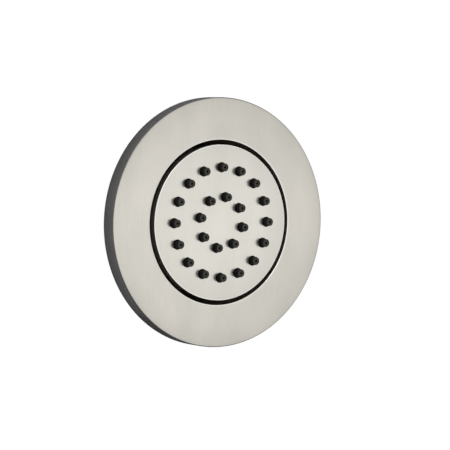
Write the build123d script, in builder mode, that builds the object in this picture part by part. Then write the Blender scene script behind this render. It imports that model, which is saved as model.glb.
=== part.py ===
from build123d import *
import os
from math import acos, asin, cos, degrees, hypot, radians, sin, sqrt

# A round shower body jet: a brushed cover plate on the wall, with a spray disc in its hole that
# swivels on a hollow ball. The jets leave along -Y, +Z is up, and the wall is the plane y = 0.
# Lengths are in millimetres and angles in degrees.

# Spray disc
disc_diameter = 77.4
disc_proud = 0.7
disc_face_wall = 1.8
disc_skirt_wall = 1.5
disc_skirt_depth = 4.2
disc_edge_round = 0.3

# Nozzles: two rings of soft nubs on one mat, each nub on a short collar
nozzle_edge_distance = 11.3
outer_nozzle_count = 16
inner_ring_radius = 12.8
inner_nozzle_count = 8
inner_ring_start = 33.75
collar_diameter = 5.05
collar_rise = 0.2
nub_diameter = 4.2
nub_tip_diameter = 4.0
nub_tip_round = 0.35
nub_height = 3.35
jet_diameter = 1.2
jet_length = 1.6
feed_diameter = 2.4
mat_thickness = 1.5
mat_hole_clearance = 0.05

# Ball joint
ball_radius = 7.5
ball_bore_diameter = 5.5
ball_lip = 1.6
ball_key_flats = 6.0
ball_key_depth = 4.0
neck_diameter = 9.0
tilt_limit = 10.0
slip_clearance = 0.05
swing_clearance = 0.5
ring_wall = 1.45
ring_margin = 5.0
seat_setback = 0.9
tilt_gap = 0.3

# Water chamber and socket
water_gap = 1.75
chamber_depth = 2.4
chamber_wall = 2.0
port_wall = 1.4
cavity_margin = 1.6
clamp_thickness = 3.4
clamp_clearance = 0.25
socket_wall = 2.3
socket_lap = 1.4
chamber_rib_height = 1.5
chamber_rib_width = 1.8
chamber_rib_gap = 1.6

# Socket nut
nut_wall = 2.4
nut_lip = 2.0
nut_front_gap = 0.6
nut_slot_count = 6
nut_slot_width = 3.0
nut_slot_depth = 1.2
nut_slot_length = 5.0

# Screws between the chamber back and the disc
screw_diameter = 2.5
screw_head_diameter = 4.5
screw_head_height = 1.5
screw_bite = 0.6
boss_wall = 1.35
boss_mat_clearance = 0.3
boss_relief = 0.1
screw_clearance = 0.2

# Seal rings, drawn squeezed square in their grooves
seat_seal_width = 1.8
seat_groove_depth = 1.4
ball_seal_height = 1.4
ball_seal_width = 1.5
grip_seal_width = 2.0
grip_groove_depth = 1.7
seal_side_gap = 0.2
seal_face_gap = 0.02

# Inlet: a G1/2 pipe thread behind a wider thread for the lock nut, both drawn at their major diameter
thread_diameter = 20.955
lock_thread_diameter = 22.0
lock_thread_runout = 1.0
thread_clearance = 0.05
thread_lead = 1.2
stub_length = 20.0
collar_bearing = 4.5
collar_height = 2.0
hex_flats = 22.0
hex_height = 6.0
hex_corner = 1.2
ball_flange_diameter = 12.0
ball_flange_height = 1.2
nipple_gap = 0.6
spigot_length = 8.0
passage_diameter = 8.0
inlet_bore_diameter = 14.0
filter_setback = 0.5
insert_clearance = 0.05
floor_hole_clearance = 0.35
washer_clearance = 0.15
washer_height = 1.5
lock_washer_height = 1.2
lock_nut_flats = 30.0
lock_nut_height = 6.0
lock_nut_corner = 1.4

# Inserts in the inlet
limiter_length = 7.0
limiter_wall = 2.0
limiter_recess = 3.6
limiter_core_diameter = 4.8
limiter_hole_count = 8
limiter_hole_diameter = 1.3
limiter_ring_width = 1.8
limiter_ring_gap = 0.15
filter_length = 5.0
filter_wall = 0.9
filter_face = 0.8
filter_hole_diameter = 1.3
filter_pitch = 1.9
filter_reach = 4.4

# Cover plate
plate_band = 21.0
plate_thickness = 8.5
plate_face_wall = 3.0
plate_rim_wall = 2.6
plate_edge_round = 0.5
hole_edge_round = 0.3

# Recess cup in the wall and the gasket behind its flange
cup_step = 1.0
cup_wall = 2.0
cup_draft = 6.0
cup_floor = 2.5
cup_inner_round = 4.0
cup_face_gap = 0.1
cup_rib_count = 6
cup_rib_height = 2.0
cup_rib_width = 2.2
cup_rib_gap = 2.5
cup_rib_margin = 5.0
flange_thickness = 2.6
flange_plate_gap = 0.3
flange_rim_wall = 3.2
fixing_count = 4
fixing_diameter = 4.6
fixing_start = 45.0
gasket_thickness = 1.6
gasket_edge_gap = 0.5
gasket_hole_gap = 0.5

# Tilting about both axes at once gives the largest swing
full_tilt = degrees(acos(cos(radians(tilt_limit)) ** 2))
full_sin = sin(radians(full_tilt))
full_cos = cos(radians(full_tilt))

# Depths from the disc face back to the ball
disc_radius = disc_diameter / 2
bore_radius = ball_bore_diameter / 2
lip_radius = bore_radius + ball_lip
ball_reach = ball_radius * cos(asin(lip_radius / ball_radius) - radians(full_tilt))
pivot_depth = disc_face_wall + mat_thickness + water_gap + ball_reach
plate_front = -plate_thickness
disc_front = plate_front - disc_proud
disc_back = disc_front + disc_face_wall
mat_back = disc_back + mat_thickness
ball_y = disc_front + pivot_depth
skirt_back = disc_front + disc_skirt_depth
skirt_radius = disc_radius - disc_skirt_wall

# The hole is as wide as the edge of the tilting disc needs
hole_radius = hypot(disc_radius, pivot_depth) + swing_clearance
plate_radius = hole_radius + plate_band
plate_face_back = plate_front + plate_face_wall
rim_radius = plate_radius - plate_rim_wall

# Nozzle and screw rings
outer_ring_radius = disc_radius - nozzle_edge_distance
nozzle_rings = (
    (outer_ring_radius, outer_nozzle_count, 0.0),
    (inner_ring_radius, inner_nozzle_count, inner_ring_start),
)
collar_radius = collar_diameter / 2
nub_radius = nub_diameter / 2
nub_front = disc_front - nub_height
cavity_radius = outer_ring_radius + feed_diameter / 2 + cavity_margin
clamp_radius = skirt_radius - clamp_clearance
screw_ring_radius = (cavity_radius + skirt_radius) / 2
screw_count = outer_nozzle_count // 2
screw_start = 180 / outer_nozzle_count
screw_radius = screw_diameter / 2
boss_radius = screw_radius + boss_wall
boss_back = mat_back - boss_relief

# Ball joint, from the ball outwards
neck_radius = neck_diameter / 2
ball_front = ball_y - sqrt(ball_radius ** 2 - lip_radius ** 2)
neck_angle = degrees(asin(neck_radius / ball_radius))
ring_inner = ball_radius + slip_clearance
ring_outer = ring_inner + ring_wall
socket_sphere = ring_outer + slip_clearance
ring_swing = acos((tilt_gap - seat_setback) / ring_outer) - radians(tilt_limit)
ring_front_angle = 90 - degrees(ring_swing)
ring_rear_angle = 90 - neck_angle - tilt_limit - ring_margin
ring_rear = ring_inner * sin(radians(ring_rear_angle))
ring_outer_rear_angle = degrees(asin(ring_rear / ring_outer))
chamber_floor = mat_back + chamber_depth
chamber_back_y = chamber_floor + chamber_wall
seat_front = chamber_floor + port_wall
seat_back = ball_y - seat_setback
seat_radius = socket_sphere + seat_groove_depth / 4
pocket_radius = seat_radius + slip_clearance
groove_radius = seat_radius - seat_groove_depth
seat_middle = (seat_front + seat_back) / 2
port_radius = sqrt(ball_radius ** 2 - (ball_y - seat_front) ** 2) + tilt_gap
socket_radius = pocket_radius + socket_wall
socket_back = seat_back + socket_lap
clamp_back = mat_back + clamp_thickness

# Socket nut, open as far as the tilted neck needs
nut_radius = socket_radius + thread_clearance + nut_wall
nut_front = chamber_back_y + nut_front_gap
nut_reach = ring_rear + nut_lip
nut_back = ball_y + nut_reach
nut_shoulder = socket_back + tilt_gap
nut_mouth = neck_radius / full_cos + nut_reach * full_sin / full_cos + tilt_gap
nut_lip_angle = degrees(acos(nut_mouth / socket_sphere))
nut_shoulder_angle = degrees(asin((nut_shoulder - ball_y) / socket_sphere))

# Inlet stack, from the nut's swing back to the end of the thread
thread_radius = thread_diameter / 2
lock_thread_radius = lock_thread_diameter / 2
hex_front = ball_y + nut_reach * full_cos + nut_radius * full_sin + nipple_gap
hex_back = hex_front + hex_height
collar_back = hex_back + collar_height
collar_outer = lock_thread_radius + collar_bearing
cup_floor_front = collar_back + washer_height
cup_floor_back = cup_floor_front + cup_floor
lock_washer_back = cup_floor_back + lock_washer_height
lock_nut_back = lock_washer_back + lock_nut_height
lock_thread_back = lock_nut_back + lock_thread_runout
stub_back = lock_nut_back + stub_length
ball_flange_front = hex_front - ball_flange_height
spigot_back = hex_front + spigot_length
filter_back = stub_back - filter_setback
filter_front = filter_back - filter_length
limiter_front = filter_front - limiter_length
insert_radius = inlet_bore_diameter / 2 - insert_clearance
washer_hole = lock_thread_radius + washer_clearance
cup_hole = lock_thread_radius + floor_hole_clearance

# Recess cup
cup_mouth_front = plate_face_back + cup_face_gap
cup_mouth_inner = hole_radius + cup_step
cup_mouth_outer = cup_mouth_inner + cup_wall
cup_floor_inner = cup_mouth_inner - cup_draft
cup_floor_outer = cup_mouth_outer - cup_draft
flange_back = -gasket_thickness
flange_front = flange_back - flange_thickness
flange_radius = rim_radius - flange_plate_gap
flange_rim_front = plate_face_back + flange_plate_gap
flange_rim_inner = flange_radius - flange_rim_wall
grip_groove_radius = flange_radius - grip_groove_depth
grip_middle = (flange_rim_front + flange_back) / 2
fixing_ring_radius = (cup_mouth_outer + flange_rim_inner) / 2
cup_rib_inner = lock_nut_flats / sqrt(3) + cup_rib_gap
cup_rib_outer = cup_floor_outer - cup_rib_margin


def seen_from_front(y):
    """A sketch plane at depth y, with X to the right and Z up, that extrudes towards the front."""
    return Plane.XZ.offset(-y)


# Cover plate: turned dish with a wide hole and an open back
with BuildPart() as cover_plate:
    with BuildSketch(Plane.XY) as profile:
        with BuildLine():
            Polyline(
                (hole_radius, plate_front),
                (plate_radius, plate_front),
                (plate_radius, 0),
                (rim_radius, 0),
                (rim_radius, plate_face_back),
                (hole_radius, plate_face_back),
                close=True,
            )
        make_face()
        front_corners = profile.vertices().group_by(Axis.Y)[0].sort_by(Axis.X)
        fillet(front_corners[0], hole_edge_round)
        fillet(front_corners[-1], plate_edge_round)
    revolve(axis=Axis.Y)

# Grip ring: rubber seal on the flange that holds the pushed-on plate
with BuildPart() as cover_grip_ring:
    with BuildSketch(Plane.XY):
        with Locations((grip_groove_radius + seal_face_gap, grip_middle)):
            Rectangle(
                rim_radius - grip_groove_radius - 2 * seal_face_gap,
                grip_seal_width,
                align=(Align.MIN, Align.CENTER),
            )
    revolve(axis=Axis.Y)

# Recess cup: moulded cup in the wall, its flange hidden behind the plate
with BuildPart() as recess_cup:
    with BuildSketch(Plane.XY) as profile:
        with BuildLine():
            Polyline(
                (cup_hole, cup_floor_front),
                (cup_floor_inner, cup_floor_front),
                (cup_mouth_inner, 0),
                (cup_mouth_inner, cup_mouth_front),
                (cup_mouth_outer, cup_mouth_front),
                (cup_mouth_outer, flange_front),
                (flange_rim_inner, flange_front),
                (flange_rim_inner, flange_rim_front),
                (flange_radius, flange_rim_front),
                (flange_radius, grip_middle - grip_seal_width / 2 - seal_side_gap),
                (grip_groove_radius, grip_middle - grip_seal_width / 2 - seal_side_gap),
                (grip_groove_radius, grip_middle + grip_seal_width / 2 + seal_side_gap),
                (flange_radius, grip_middle + grip_seal_width / 2 + seal_side_gap),
                (flange_radius, flange_back),
                (cup_mouth_outer, flange_back),
                (cup_mouth_outer, 0),
                (cup_floor_outer, cup_floor_back),
                (cup_hole, cup_floor_back),
                close=True,
            )
        make_face()
        floor_corners = profile.vertices().group_by(Axis.Y)
        fillet(floor_corners[-1].sort_by(Axis.X)[-1], cup_inner_round + cup_wall)
        fillet(floor_corners[-2].sort_by(Axis.X)[-1], cup_inner_round)
    revolve(axis=Axis.Y)
    with BuildSketch(seen_from_front(cup_floor_back)):
        with PolarLocations((cup_rib_inner + cup_rib_outer) / 2, cup_rib_count):
            Rectangle(cup_rib_outer - cup_rib_inner, cup_rib_width)
    extrude(amount=-cup_rib_height)
    with BuildSketch(seen_from_front(flange_back)):
        with PolarLocations(fixing_ring_radius, fixing_count, fixing_start):
            Circle(fixing_diameter / 2)
    extrude(amount=flange_thickness, mode=Mode.SUBTRACT)

# Wall gasket: flat foam ring between the flange and the tiles
with BuildPart() as wall_gasket:
    with BuildSketch(seen_from_front(0)):
        Circle(flange_radius - gasket_edge_gap)
        Circle(cup_mouth_outer + gasket_edge_gap, mode=Mode.SUBTRACT)
        with PolarLocations(fixing_ring_radius, fixing_count, fixing_start):
            Circle(fixing_diameter / 2 + gasket_hole_gap, mode=Mode.SUBTRACT)
    extrude(amount=gasket_thickness)

# Inlet nipple: brass hexagon, collar and supply thread, bored through
with BuildPart() as inlet_nipple:
    with BuildSketch(seen_from_front(hex_back)):
        RegularPolygon(hex_flats / 2, 6, major_radius=False)
    extrude(amount=hex_height)
    with BuildSketch(Plane.XY):
        with BuildLine():
            Polyline(
                (0, hex_front),
                (hex_flats / sqrt(3) - hex_corner, hex_front),
                (hex_flats / sqrt(3), hex_front + hex_corner / sqrt(3)),
                (hex_flats / sqrt(3), hex_back),
                (0, hex_back),
                close=True,
            )
        make_face()
    revolve(axis=Axis.Y, mode=Mode.INTERSECT)
    with BuildSketch(Plane.XY):
        with BuildLine():
            Polyline(
                (0, hex_back),
                (collar_outer, hex_back),
                (collar_outer, collar_back),
                (lock_thread_radius, collar_back),
                (lock_thread_radius, lock_thread_back),
                (thread_radius, lock_thread_back),
                (thread_radius, stub_back - thread_lead),
                (thread_radius - thread_lead, stub_back),
                (0, stub_back),
                close=True,
            )
        make_face()
    revolve(axis=Axis.Y)
    with BuildSketch(Plane.XY):
        with BuildLine():
            Polyline(
                (0, hex_front),
                (neck_radius + thread_clearance + ball_seal_width, hex_front),
                (neck_radius + thread_clearance + ball_seal_width, hex_front + ball_seal_height),
                (neck_radius + thread_clearance, hex_front + ball_seal_height),
                (neck_radius + thread_clearance, spigot_back),
                (passage_diameter / 2, spigot_back),
                (passage_diameter / 2, limiter_front),
                (inlet_bore_diameter / 2, limiter_front),
                (inlet_bore_diameter / 2, stub_back),
                (0, stub_back),
                close=True,
            )
        make_face()
    revolve(axis=Axis.Y, mode=Mode.SUBTRACT)

# Nipple washer: rubber, seals the collar on the cup floor
with BuildPart() as nipple_washer:
    with BuildSketch(seen_from_front(cup_floor_front)):
        Circle(collar_outer)
        Circle(washer_hole, mode=Mode.SUBTRACT)
    extrude(amount=washer_height)

# Lock washer and lock nut behind the cup floor
with BuildPart() as lock_washer:
    with BuildSketch(seen_from_front(lock_washer_back)):
        Circle(lock_nut_flats / 2)
        Circle(washer_hole, mode=Mode.SUBTRACT)
    extrude(amount=lock_washer_height)

with BuildPart() as lock_nut:
    with BuildSketch(seen_from_front(lock_nut_back)):
        RegularPolygon(lock_nut_flats / 2, 6, major_radius=False)
        Circle(lock_thread_radius + thread_clearance, mode=Mode.SUBTRACT)
    extrude(amount=lock_nut_height)
    with BuildSketch(Plane.XY):
        with BuildLine():
            Polyline(
                (0, lock_washer_back),
                (lock_nut_flats / sqrt(3), lock_washer_back),
                (lock_nut_flats / sqrt(3), lock_nut_back - lock_nut_corner / sqrt(3)),
                (lock_nut_flats / sqrt(3) - lock_nut_corner, lock_nut_back),
                (0, lock_nut_back),
                close=True,
            )
        make_face()
    revolve(axis=Axis.Y, mode=Mode.INTERSECT)

# Flow limiter: moulded insert, a core in a recess with holes in its floor
with BuildPart() as flow_limiter:
    with BuildSketch(Plane.XY):
        with BuildLine():
            Polyline(
                (0, limiter_front),
                (insert_radius, limiter_front),
                (insert_radius, filter_front),
                (insert_radius - limiter_wall, filter_front),
                (insert_radius - limiter_wall, filter_front - limiter_recess),
                (limiter_core_diameter / 2, filter_front - limiter_recess),
                (limiter_core_diameter / 2, filter_front - limiter_recess / 3),
                (0, filter_front - limiter_recess / 3),
                close=True,
            )
        make_face()
    revolve(axis=Axis.Y)
    with BuildSketch(seen_from_front(filter_front)):
        hole_ring = (limiter_core_diameter / 2 + insert_radius - limiter_wall) / 2
        with PolarLocations(hole_ring, limiter_hole_count):
            Circle(limiter_hole_diameter / 2)
    extrude(amount=limiter_length, mode=Mode.SUBTRACT)

# Limiter ring: soft ring round the core that closes as the pressure rises
with BuildPart() as limiter_ring:
    with BuildSketch(seen_from_front(filter_front - limiter_recess)):
        Circle(insert_radius - limiter_wall - limiter_ring_gap)
        Circle(limiter_core_diameter / 2 + limiter_ring_gap, mode=Mode.SUBTRACT)
    extrude(amount=-limiter_ring_width)

# Filter screen: perforated cap at the end of the inlet
with BuildPart() as filter_screen:
    with BuildSketch(Plane.XY):
        with BuildLine():
            Polyline(
                (0, filter_back - filter_face),
                (insert_radius - filter_wall, filter_back - filter_face),
                (insert_radius - filter_wall, filter_front),
                (insert_radius, filter_front),
                (insert_radius, filter_back),
                (0, filter_back),
                close=True,
            )
        make_face()
    revolve(axis=Axis.Y)
    with BuildSketch(seen_from_front(filter_back)):
        with HexLocations(filter_pitch / 2, 5, 5, major_radius=False) as grid:
            places = [place.position for place in grid.local_locations]
        with Locations(*[place for place in places if place.length <= filter_reach]):
            Circle(filter_hole_diameter / 2)
    extrude(amount=filter_face, mode=Mode.SUBTRACT)

# Swivel ball: hollow ball on a neck, with a key hexagon in its mouth and a thread behind its flange
with BuildPart() as swivel_ball:
    with BuildSketch(Plane.XY):
        with BuildLine():
            sphere = CenterArc(
                (0, ball_y),
                ball_radius,
                degrees(acos(lip_radius / ball_radius)) * -1,
                degrees(acos(lip_radius / ball_radius)) + 90 - neck_angle,
            )
            Polyline(
                sphere @ 1,
                (neck_radius, ball_flange_front),
                (ball_flange_diameter / 2, ball_flange_front),
                (ball_flange_diameter / 2, hex_front),
                (neck_radius, hex_front),
                (neck_radius, spigot_back),
                (bore_radius, spigot_back),
                (bore_radius, ball_front),
                sphere @ 0,
            )
        make_face()
    revolve(axis=Axis.Y)
    with BuildSketch(seen_from_front(ball_front)):
        RegularPolygon(ball_key_flats / 2, 6, major_radius=False)
    extrude(amount=-ball_key_depth, mode=Mode.SUBTRACT)

# Ball seal: ring under the ball's flange
with BuildPart() as ball_seal:
    with BuildSketch(seen_from_front(hex_front + ball_seal_height - seal_face_gap)):
        Circle(neck_radius + thread_clearance + ball_seal_width - seal_face_gap)
        Circle(neck_radius + seal_face_gap, mode=Mode.SUBTRACT)
    extrude(amount=ball_seal_height - 2 * seal_face_gap)

# Friction ring: loose liner behind the ball, round inside and outside
with BuildPart() as friction_ring:
    with BuildSketch(Plane.XY):
        with BuildLine():
            inside = CenterArc(
                (0, ball_y),
                ring_inner,
                ring_front_angle,
                ring_rear_angle - ring_front_angle,
            )
            outside = CenterArc(
                (0, ball_y),
                ring_outer,
                ring_front_angle,
                ring_outer_rear_angle - ring_front_angle,
            )
            Line(inside @ 0, outside @ 0)
            Line(inside @ 1, outside @ 1)
        make_face()
    revolve(axis=Axis.Y)

# Ball seat: ring in front of the ball, with a groove for its seal
with BuildPart() as ball_seat:
    with BuildSketch(Plane.XY):
        with BuildLine():
            front_angle = degrees(asin((seat_front - ball_y) / ring_inner))
            back_angle = degrees(asin((seat_back - ball_y) / ring_inner))
            hollow = CenterArc((0, ball_y), ring_inner, front_angle, back_angle - front_angle)
            Polyline(
                hollow @ 1,
                (seat_radius, seat_back),
                (seat_radius, seat_middle + seat_seal_width / 2 + seal_side_gap),
                (groove_radius, seat_middle + seat_seal_width / 2 + seal_side_gap),
                (groove_radius, seat_middle - seat_seal_width / 2 - seal_side_gap),
                (seat_radius, seat_middle - seat_seal_width / 2 - seal_side_gap),
                (seat_radius, seat_front),
                hollow @ 0,
            )
        make_face()
    revolve(axis=Axis.Y)

with BuildPart() as seat_seal:
    with BuildSketch(Plane.XY):
        with Locations((groove_radius + seal_face_gap, seat_middle)):
            Rectangle(
                pocket_radius - groove_radius - 2 * seal_face_gap,
                seat_seal_width,
                align=(Align.MIN, Align.CENTER),
            )
    revolve(axis=Axis.Y)

# Spray plate: brushed disc with a skirt, the nozzle holes and short screw bosses behind
with BuildPart() as spray_plate:
    with BuildSketch(Plane.XY) as profile:
        with BuildLine():
            Polyline(
                (0, disc_front),
                (disc_radius, disc_front),
                (disc_radius, skirt_back),
                (skirt_radius, skirt_back),
                (skirt_radius, disc_back),
                (0, disc_back),
                close=True,
            )
        make_face()
        fillet(profile.vertices().group_by(Axis.Y)[0].sort_by(Axis.X)[-1], disc_edge_round)
    revolve(axis=Axis.Y)
    with BuildSketch(seen_from_front(boss_back)):
        with PolarLocations(screw_ring_radius, screw_count, screw_start):
            Circle(boss_radius)
    extrude(amount=boss_back - disc_back)
    with BuildSketch(seen_from_front(boss_back)):
        with PolarLocations(screw_ring_radius, screw_count, screw_start):
            Circle(screw_radius + thread_clearance)
    extrude(amount=boss_back - disc_back + screw_bite, mode=Mode.SUBTRACT)
    with BuildSketch(seen_from_front(disc_back)):
        for ring_radius, count, start in nozzle_rings:
            with PolarLocations(ring_radius, count, start):
                Circle(collar_radius + mat_hole_clearance)
    extrude(amount=disc_face_wall, mode=Mode.SUBTRACT)

# One nozzle, turned about its own axis: collar, tapered nub with a rounded tip
with BuildPart() as nozzle:
    with BuildSketch(Plane.XZ) as profile:
        with BuildLine():
            Polyline(
                (0, -disc_back),
                (collar_radius, -disc_back),
                (collar_radius, collar_rise - disc_front),
                (nub_radius, collar_rise - disc_front),
                (nub_tip_diameter / 2, -nub_front),
                (0, -nub_front),
                close=True,
            )
        make_face()
        fillet(profile.vertices().group_by(Axis.Y)[-1].sort_by(Axis.X)[-1], nub_tip_round)
    revolve(axis=Axis.Z)

# Its bore narrows from the feed to the jet
with BuildPart() as nozzle_bore:
    with BuildSketch(Plane.XZ):
        with BuildLine():
            Polyline(
                (0, -mat_back),
                (feed_diameter / 2, -mat_back),
                (jet_diameter / 2, -nub_front - jet_length),
                (jet_diameter / 2, -nub_front),
                (0, -nub_front),
                close=True,
            )
        make_face()
    revolve(axis=Axis.Z)

# Nozzle mat: one silicone moulding, a sheet with two rings of nozzles
with BuildPart(Plane.XZ) as nozzle_mat:
    with BuildSketch(seen_from_front(mat_back)):
        Circle(clamp_radius)
        with PolarLocations(screw_ring_radius, screw_count, screw_start):
            Circle(boss_radius + boss_mat_clearance, mode=Mode.SUBTRACT)
    extrude(amount=mat_thickness)
    for ring_radius, count, start in nozzle_rings:
        with PolarLocations(ring_radius, count, start):
            add(nozzle.part)
            add(nozzle_bore.part, mode=Mode.SUBTRACT)

# Chamber back: moulded dish that clamps the mat, with the ball's socket on its back
with BuildPart() as chamber_back:
    with BuildSketch(Plane.XY):
        with BuildLine():
            Polyline(
                (port_radius, chamber_floor),
                (cavity_radius, chamber_floor),
                (cavity_radius, mat_back),
                (clamp_radius, mat_back),
                (clamp_radius, clamp_back),
                (cavity_radius, clamp_back),
                (cavity_radius - chamber_wall, chamber_back_y),
                (socket_radius, chamber_back_y),
                (socket_radius, socket_back),
                (pocket_radius, socket_back),
                (pocket_radius, seat_front),
                (port_radius, seat_front),
                close=True,
            )
        make_face()
    revolve(axis=Axis.Y)
    with BuildSketch(seen_from_front(chamber_back_y)):
        rib_inner = nut_radius + chamber_rib_gap
        rib_outer = cavity_radius - chamber_wall
        with PolarLocations((rib_inner + rib_outer) / 2, screw_count, screw_start):
            Rectangle(rib_outer - rib_inner, chamber_rib_width)
    extrude(amount=-chamber_rib_height)
    with BuildSketch(seen_from_front(clamp_back)):
        with PolarLocations(screw_ring_radius, screw_count, screw_start):
            Circle(screw_radius + screw_clearance)
    extrude(amount=clamp_thickness, mode=Mode.SUBTRACT)

# Socket nut: threaded over the socket, holds the ball from behind
with BuildPart() as socket_nut:
    with BuildSketch(Plane.XY):
        with BuildLine():
            cradle = CenterArc(
                (0, ball_y),
                socket_sphere,
                nut_shoulder_angle,
                nut_lip_angle - nut_shoulder_angle,
            )
            Polyline(
                cradle @ 1,
                (nut_mouth, nut_back),
                (nut_radius, nut_back),
                (nut_radius, nut_front),
                (socket_radius + thread_clearance, nut_front),
                (socket_radius + thread_clearance, nut_shoulder),
                cradle @ 0,
            )
        make_face()
    revolve(axis=Axis.Y)
    with BuildSketch(seen_from_front(nut_back)):
        with PolarLocations(nut_radius, nut_slot_count):
            Rectangle(2 * nut_slot_depth, nut_slot_width)
    extrude(amount=nut_slot_length, mode=Mode.SUBTRACT)

# Screws that hold the chamber back to the spray plate
with BuildPart() as head_screws:
    with BuildSketch(seen_from_front(clamp_back)):
        with PolarLocations(screw_ring_radius, screw_count, screw_start):
            Circle(screw_radius)
    extrude(amount=clamp_back - disc_back + screw_bite)
    with BuildSketch(seen_from_front(clamp_back)):
        with PolarLocations(screw_ring_radius, screw_count, screw_start):
            Circle(screw_head_diameter / 2)
    extrude(amount=-screw_head_height)

os.makedirs("parts", exist_ok=True)

cover_plate.part.label = "cover_plate"
export_step(cover_plate.part, "parts/cover_plate.step")
cover_grip_ring.part.label = "cover_grip_ring"
export_step(cover_grip_ring.part, "parts/cover_grip_ring.step")
recess_cup.part.label = "recess_cup"
export_step(recess_cup.part, "parts/recess_cup.step")
wall_gasket.part.label = "wall_gasket"
export_step(wall_gasket.part, "parts/wall_gasket.step")
inlet_nipple.part.label = "inlet_nipple"
export_step(inlet_nipple.part, "parts/inlet_nipple.step")
nipple_washer.part.label = "nipple_washer"
export_step(nipple_washer.part, "parts/nipple_washer.step")
lock_washer.part.label = "lock_washer"
export_step(lock_washer.part, "parts/lock_washer.step")
lock_nut.part.label = "lock_nut"
export_step(lock_nut.part, "parts/lock_nut.step")
flow_limiter.part.label = "flow_limiter"
export_step(flow_limiter.part, "parts/flow_limiter.step")
limiter_ring.part.label = "limiter_ring"
export_step(limiter_ring.part, "parts/limiter_ring.step")
filter_screen.part.label = "filter_screen"
export_step(filter_screen.part, "parts/filter_screen.step")
swivel_ball.part.label = "swivel_ball"
export_step(swivel_ball.part, "parts/swivel_ball.step")
ball_seal.part.label = "ball_seal"
export_step(ball_seal.part, "parts/ball_seal.step")
friction_ring.part.label = "friction_ring"
export_step(friction_ring.part, "parts/friction_ring.step")
ball_seat.part.label = "ball_seat"
export_step(ball_seat.part, "parts/ball_seat.step")
seat_seal.part.label = "seat_seal"
export_step(seat_seal.part, "parts/seat_seal.step")
spray_plate.part.label = "spray_plate"
export_step(spray_plate.part, "parts/spray_plate.step")
nozzle_mat.part.label = "nozzle_mat"
export_step(nozzle_mat.part, "parts/nozzle_mat.step")
chamber_back.part.label = "chamber_back"
export_step(chamber_back.part, "parts/chamber_back.step")
socket_nut.part.label = "socket_nut"
export_step(socket_nut.part, "parts/socket_nut.step")
head_screws.part.label = "head_screws"
export_step(head_screws.part, "parts/head_screws.step")
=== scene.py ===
# %% [markdown]
# # A shower body jet in brushed nickel
# A body jet sits on the shower wall and sprays sideways. This one is a flat round plate with a spray
# disc in its middle. The disc swivels on a hollow ball behind it, so a dark gap runs all round the disc.
# The CAD model gives every piece its place. This lesson gives each piece its surface, and remakes the
# two pieces that need more than the CAD model has: the plate and the threaded inlet.

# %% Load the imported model
import math

import bmesh
import bpy
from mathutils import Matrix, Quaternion, Vector


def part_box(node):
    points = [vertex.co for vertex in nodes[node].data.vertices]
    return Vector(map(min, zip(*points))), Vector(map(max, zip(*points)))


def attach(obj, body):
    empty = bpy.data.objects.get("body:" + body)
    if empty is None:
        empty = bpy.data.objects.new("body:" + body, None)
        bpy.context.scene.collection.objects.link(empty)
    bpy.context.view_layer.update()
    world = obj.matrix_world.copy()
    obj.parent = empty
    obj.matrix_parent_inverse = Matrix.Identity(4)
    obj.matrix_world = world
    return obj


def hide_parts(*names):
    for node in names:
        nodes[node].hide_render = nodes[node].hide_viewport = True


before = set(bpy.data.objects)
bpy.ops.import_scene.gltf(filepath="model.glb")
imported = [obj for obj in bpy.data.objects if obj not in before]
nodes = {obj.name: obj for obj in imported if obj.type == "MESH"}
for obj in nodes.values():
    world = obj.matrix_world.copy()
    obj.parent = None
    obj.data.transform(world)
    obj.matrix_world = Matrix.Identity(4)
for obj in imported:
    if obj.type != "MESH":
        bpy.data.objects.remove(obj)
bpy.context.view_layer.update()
MM = 0.001

# %% [markdown]
# ## The camera
# In the picture the plate, its hole and the disc are ellipses, and a camera can be fitted to them. It
# stands about a metre away, to the left of the plate and a little above its middle, and it leans by
# less than a degree. A long lens keeps the perspective as mild as it is there, and a small shift puts
# the plate where the picture has it.

# %% Camera
AZIMUTH, ELEVATION, LEAN = math.radians(-33.74), math.radians(2.67), math.radians(0.85)
CAMERA_DISTANCE = 1.138
SENSOR_WIDTH, FOCAL_LENGTH = 36, 183.6
SHIFT_RIGHT, SHIFT_UP = 0.0111, -0.0057

plate_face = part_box("cover_plate")[0][1]
towards_camera = Vector((
    math.sin(AZIMUTH) * math.cos(ELEVATION),
    -math.cos(AZIMUTH) * math.cos(ELEVATION),
    math.sin(ELEVATION),
))
lens = bpy.data.cameras.new("camera")
lens.sensor_width, lens.lens = SENSOR_WIDTH, FOCAL_LENGTH
lens.shift_x, lens.shift_y = SHIFT_RIGHT, SHIFT_UP
lens.clip_start, lens.clip_end = 0.05, 50
camera = bpy.data.objects.new("camera", lens)
camera.location = Vector((0, plate_face, 0)) + towards_camera * CAMERA_DISTANCE
camera.rotation_mode = "QUATERNION"
upright = (-towards_camera).to_track_quat("-Z", "Y")
camera.rotation_quaternion = upright @ Quaternion((0, 0, 1), LEAN)
bpy.context.collection.objects.link(camera)
bpy.context.scene.camera = camera
bpy.context.scene.view_settings.view_transform = "Standard"
print("camera at", [round(v, 3) for v in camera.location])

# %% [markdown]
# ## Colours and nodes
# Colours are written as the hex values that a colour picker shows, and Blender's shaders want them
# linear. One function does that, and one adds a node with its settings and links. A third starts a
# material, and a fourth turns sizes in millimetres into the scale that a texture wants.

# %% Colour and node helpers
def linear(hex_colour):
    # The numbers in the last line are those of the sRGB standard.
    channels = [int(hex_colour[i:i + 2], 16) / 255 for i in (1, 3, 5)]
    return tuple(c / 12.92 if c <= 0.04045 else ((c + 0.055) / 1.055) ** 2.4 for c in channels) + (1.0,)


def add(tree, kind, inputs=(), **settings):
    made = tree.nodes.new(kind)
    for name, value in settings.items():
        setattr(made, name, value)
    for socket, value in dict(inputs).items():
        if isinstance(value, bpy.types.NodeSocket):
            tree.links.new(value, made.inputs[socket])
        else:
            made.inputs[socket].default_value = value
    return made


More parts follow.
